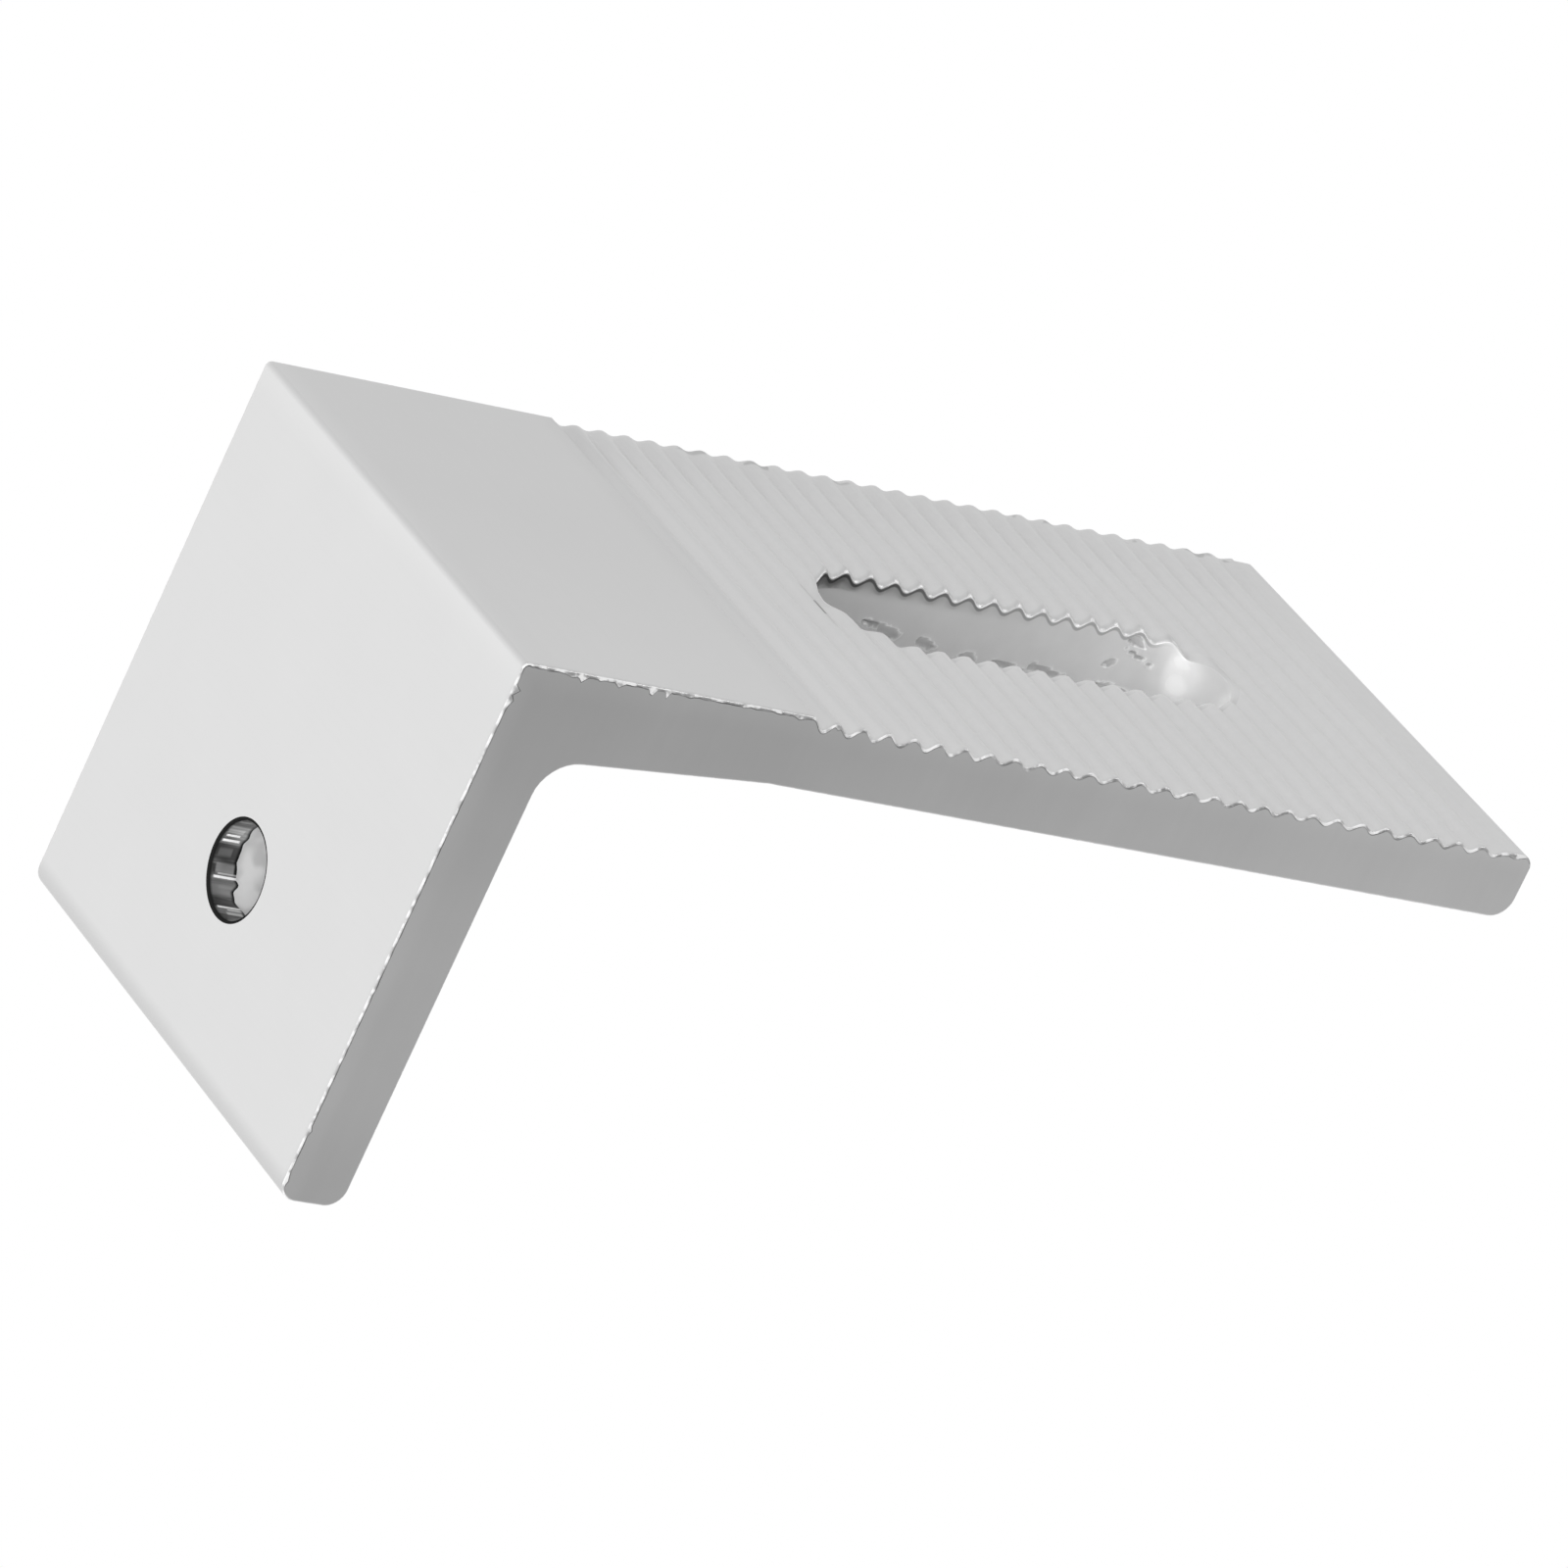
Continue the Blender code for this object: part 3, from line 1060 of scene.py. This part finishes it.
def slot_finish():
    """Like the skin at the rim, then a burr with a painted highlight, a painted dark line of shade,
    and the wall with its flakes, its painted light and its painted shade.
    """
    material, nodes, shader = finish("slot_wall")
    skin, _, die_lines = skin_level(nodes)
    # Painted light on the skin of the slot's far rim.
    skin = skin * nodes.ease(nodes.along("Y"), 0.0, 3 * MM, 1.0, 1.09)
    clouds = nodes.noise(450, detail=4)
    ragged = nodes.noise(900, detail=3)
    height = nodes.along("Z")
    depth = nodes.stored("punch_depth") + 0.12 * MM * (ragged - 0.5)
    flake = nodes.stored("flake")
    strokes = nodes.noise(1300, detail=3, stretch=(0.12, 1, 1))
    # Painted light and shade: the wall grows paler towards the slot's high end and its end cap.
    wall = nodes.ease(height, 30 * MM, 72 * MM, 0.77, 1.07) * (0.70 + 0.12 * clouds)
    wall = wall * nodes.ease(height, 61 * MM, 64.5 * MM, 1.0, 1.08)
    wall = wall * nodes.ease(height, 64.8 * MM, 66.4 * MM, 1.0, 0.91)
    wall = wall * nodes.ease(height, 68.1 * MM, 68.8 * MM, 1.0, 0.96)
    # Painted shade below the rim, deepest towards the slot's low end, with dark painted lumps
    # there.
    rim_shade = nodes.ease(height, 37 * MM, 60 * MM, 0.62, 0.0) * (0.55 + 0.9 * strokes)
    lumps = nodes.ease(ragged, 0.40, 0.60, 0.5, 1.0)
    low_shade = nodes.ease(height, 40.2 * MM, 41.6 * MM, 0.50, 0.0) * lumps
    shade = 1 - rim_shade * nodes.ease(depth, 0.3 * MM, 2.1 * MM, 1.0, 0.0)
    shade = shade * (1 - low_shade * nodes.ease(depth, 1.55 * MM, 1.8 * MM, 1.0, 0.0))
    far_end = nodes.ease(height, 65.0 * MM, 67.5 * MM)
    # Painted shade: a dark line under the burr, fading at the far end.
    painted_dark_line = nodes.ease(height, 37 * MM, 60 * MM, 0.70, 0.36) * (1 - far_end)
    line = 1 - painted_dark_line * nodes.band(depth, 0.38 * MM, 0.50 * MM, 0.14 * MM)
    # Painted shade in the flakes' hollows and a painted highlight along their edges.
    flake_shade = 1 - 0.20 * nodes.ease(flake, 0.25, 0.6)
    flake_edge_highlight = nodes.band(flake, 0.08, 0.16, 0.06)
    # Painted highlights in the dents at the slot's high end.
    painted_end_highlight = dent_highlights(nodes, height, depth)
    level = wall * shade * line * flake_shade + 0.12 * flake_edge_highlight + painted_end_highlight
    on_wall = nodes.ease(depth, 0.20 * MM, 0.26 * MM)
    burr = nodes.band(depth, 0.23 * MM, 0.29 * MM, 0.05 * MM) * (1 - far_end)
    # Painted highlight on the burr along the slot's rim.
    burr_highlight = nodes.ease(strokes, 0.42, 0.58, 0.14, 0.46) * burr
    nodes.feed(shader.inputs["Base Color"], skin + (level - skin) * on_wall + burr_highlight)
    metallic = 1 - 0.4 * on_wall - 0.3 * burr - 0.6 * painted_end_highlight * on_wall
    nodes.feed(shader.inputs["Metallic"], metallic)
    nodes.feed(shader.inputs["Roughness"], 0.44 + 0.06 * die_lines + 0.15 * clouds * on_wall)
    nodes.feed(shader.inputs["Normal"], nodes.bump((clouds + 0.5 * strokes) * on_wall, 0.03 * MM))
    return material


SLOT_WALL = slot_finish()

# %% Punch the slot in the leg
SLOT_ROLL_REACH = 0.60 * MM
SLOT_ROLL_DEPTH = 0.35 * MM
SLOT_TURN_STEPS = 96
WALL_STEP = 0.22 * MM
SLOT_FLARE = 0.1 * MM
WORN_BY = 0.45 * MM

TOOTH_STEP = TOOTH_PITCH / TOOTH_STEPS
first_row = LAND_HEIGHT + TOOTH_STEP / 2
run_rows = round(SLOT_RUN / TOOTH_STEP)
run_start = first_row + TOOTH_STEP * round(
    (SLOT_CENTRE_HEIGHT - SLOT_RUN / 2 - first_row) / TOOTH_STEP
)
slot_run = run_rows * TOOTH_STEP
slot_middle = run_start + slot_run / 2


def worn_end(place):
    """The share by which the punch is worn: its low end, halfway round to the near side."""
    if place.x > 0 or place.y > -slot_run / 2:
        return 0.0
    return math.sin(2 * math.atan2(place.y + slot_run / 2, place.x)) ** 2


wall_rows = round((LEG_THICKNESS - SLOT_ROLL_DEPTH) / WALL_STEP)
slot_wall = []
for row in range(1, wall_rows + 1):
    share = row / wall_rows
    depth = SLOT_ROLL_DEPTH + share * (LEG_THICKNESS - SLOT_ROLL_DEPTH)
    slot_wall.append((SLOT_FLARE * ease(share, 0.3, 1.0), depth))
slot_wall.append((SLOT_FLARE, LEG_THICKNESS + STAND_OUT))
slot_outline = punch_outline(SLOT_RADIUS, SLOT_ROLL_REACH, SLOT_ROLL_DEPTH, slot_wall)
slot_punch = sweep_punch("slot_punch", slot_outline, SLOT_TURN_STEPS, slot_run, run_rows)
coat_punch(slot_punch, [], [SLOT_WALL])
press(slot_punch, "worn_end", "NORMAL", -WORN_BY, worn_end)
press(
    slot_punch,
    "flakes",
    "NORMAL",
    FLAKE_DEPTH,
    lambda place: flake_share(place.z, place.x, place.y + slot_middle) * (place.z > FLAKES_FROM),
)
stroke_along_x = Matrix(((0, 0, 1, 0), (1, 0, 0, 0), (0, 1, 0, 0), (0, 0, 0, 1)))
set_punch(slot_punch, (HEEL, 0, slot_middle), stroke_along_x)
punch_out(slot_punch)

# %% Keep what the finishes ask for
def keep_number(piece, name, number):
    """Store a number at each point of a piece, worked out from the point's place."""
    stored = piece.data.attributes.new(name, "FLOAT", "POINT")
    stored.data.foreach_set("value", [number(point.co) for point in piece.data.vertices])


def sheared_left(place):
    """How much of the hole's sheared band is left below a place."""
    angle = hole_angle(place.x - HEEL - HOLE_FROM_HEEL, place.y - HOLE_OFF_MIDDLE)
    return HOLE_SHEARED + TEAR_REACH * tear_share(angle) - place.z


keep_number(bracket, "sheared_left", sheared_left)
keep_number(bracket, "punch_depth", lambda place: place.x - HEEL)
keep_number(bracket, "flake", lambda place: flake_share(place.x - HEEL, place.y, place.z))
print("each of", len(bracket.data.vertices), "points keeps its numbers for the punched walls")

# %% [markdown]
# ## The teeth
#
# Now the wave goes in. A vertex group holds how far each point of the outer face sinks, as a
# share of the deepest valley, and one Displace modifier presses them all in. The rolled rim of
# the slot sinks with its teeth, and the wave fades out down the slot's wall.

# %% Press in the teeth
WAVE_FULL_TO = 0.5 * MM
WAVE_GONE_AT = 1.9 * MM
LOST_AT_FAR_EDGE = 0.62
LOST_AT_NEAR_EDGE = 0.3
ROLLED_BACK = 0.6
ROLL_MARGIN = 0.1 * MM
MIDDLE_DROP = (CREST_DROP + VALLEY_DROP) / 2


def tooth_drop(height):
    """How far the outer face lies below the smooth land at a height."""
    flank, share = divmod((height - LAND_HEIGHT) / (TOOTH_PITCH / 2), 1)
    drops = [0.0] + [VALLEY_DROP, CREST_DROP] * TEETH
    drops[-1] = END_LAND_DROP
    if flank < 0 or flank + 1 >= len(drops):
        return 0.0 if flank < 0 else END_LAND_DROP
    start, end = drops[int(flank) : int(flank) + 2]
    return start + (end - start) * (1 - math.cos(math.pi * share)) / 2


def from_slot_rim(place):
    """How far a place on the leg lies outside the slot, seen along the punch's stroke."""
    past_end = max(0.0, abs(place.z - SLOT_CENTRE_HEIGHT) - SLOT_RUN / 2)
    return math.hypot(place.y, past_end) - SLOT_RADIUS


def at_far_edge(place):
    """From 0 on the face to 1 on the far sawn edge."""
    return ease(place.y, 11 * MM, 19.7 * MM)


def wave_share(place):
    """How much of the wave is left at a place: less on the slot's rim and the sawn edges."""
    at_rim = 1 - ease(from_slot_rim(place), 0, SLOT_ROLL_REACH)
    at_near_edge = ease(-place.y, 14 * MM, 19.7 * MM) * ease(place.z, 28 * MM, 44 * MM)
    rim_part = 0.1 + 0.3 * (1 - ease(place.y, -4 * MM, 2 * MM))
    kept = (1 - rim_part * at_rim) * (1 - LOST_AT_FAR_EDGE * at_far_edge(place))
    return kept * (1 - LOST_AT_NEAR_EDGE * at_near_edge)


def roll_back(place):
    """The punch leant to one side, so the slot's near rim and low end are rolled less."""
    near_side = 1 - ease(place.y, -4 * MM, 3 * MM)
    low_end = (1 - ease(place.z, 36 * MM, 42 * MM)) * (1 - ease(place.y, 1 * MM, 3 * MM))
    return ROLLED_BACK * max(near_side, low_end) * (place.x - HEEL)


def in_teeth(place):
    """The share of the deepest valley by which a point sinks."""
    depth = place.x - HEEL
    if depth > WAVE_GONE_AT or place.z < LAND_HEIGHT:
        return 0.0
    drop = tooth_drop(place.z)
    if place.z < TOP_OF_TEETH:
        kept = MIDDLE_DROP + (CREST_DROP - MIDDLE_DROP) * at_far_edge(place)
        drop = kept + (drop - kept) * wave_share(place)
    in_roll = depth < SLOT_ROLL_DEPTH + ROLL_MARGIN
    if in_roll and from_slot_rim(place) < SLOT_ROLL_REACH + ROLL_MARGIN:
        drop = max(0.0, drop - roll_back(place))
    return drop * (1 - ease(depth, WAVE_FULL_TO, WAVE_GONE_AT)) / VALLEY_DROP


keep_number(bracket, "valley", in_teeth)
press(bracket, "teeth", "X", VALLEY_DROP, in_teeth)

# %% Shade it smooth, with flat faces kept flat
SMOOTH_ANGLE = math.radians(42)
bpy.ops.object.shade_smooth_by_angle(angle=SMOOTH_ANGLE)
weigh = bracket.modifiers.new("weigh", "WEIGHTED_NORMAL")
weigh.keep_sharp = True
bpy.ops.object.modifier_apply(modifier=weigh.name)
print("the finished bracket has", len(bracket.data.polygons), "faces")

# %% Hand the bracket over to the frame
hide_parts("l_foot_bracket")
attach(bracket, "root")
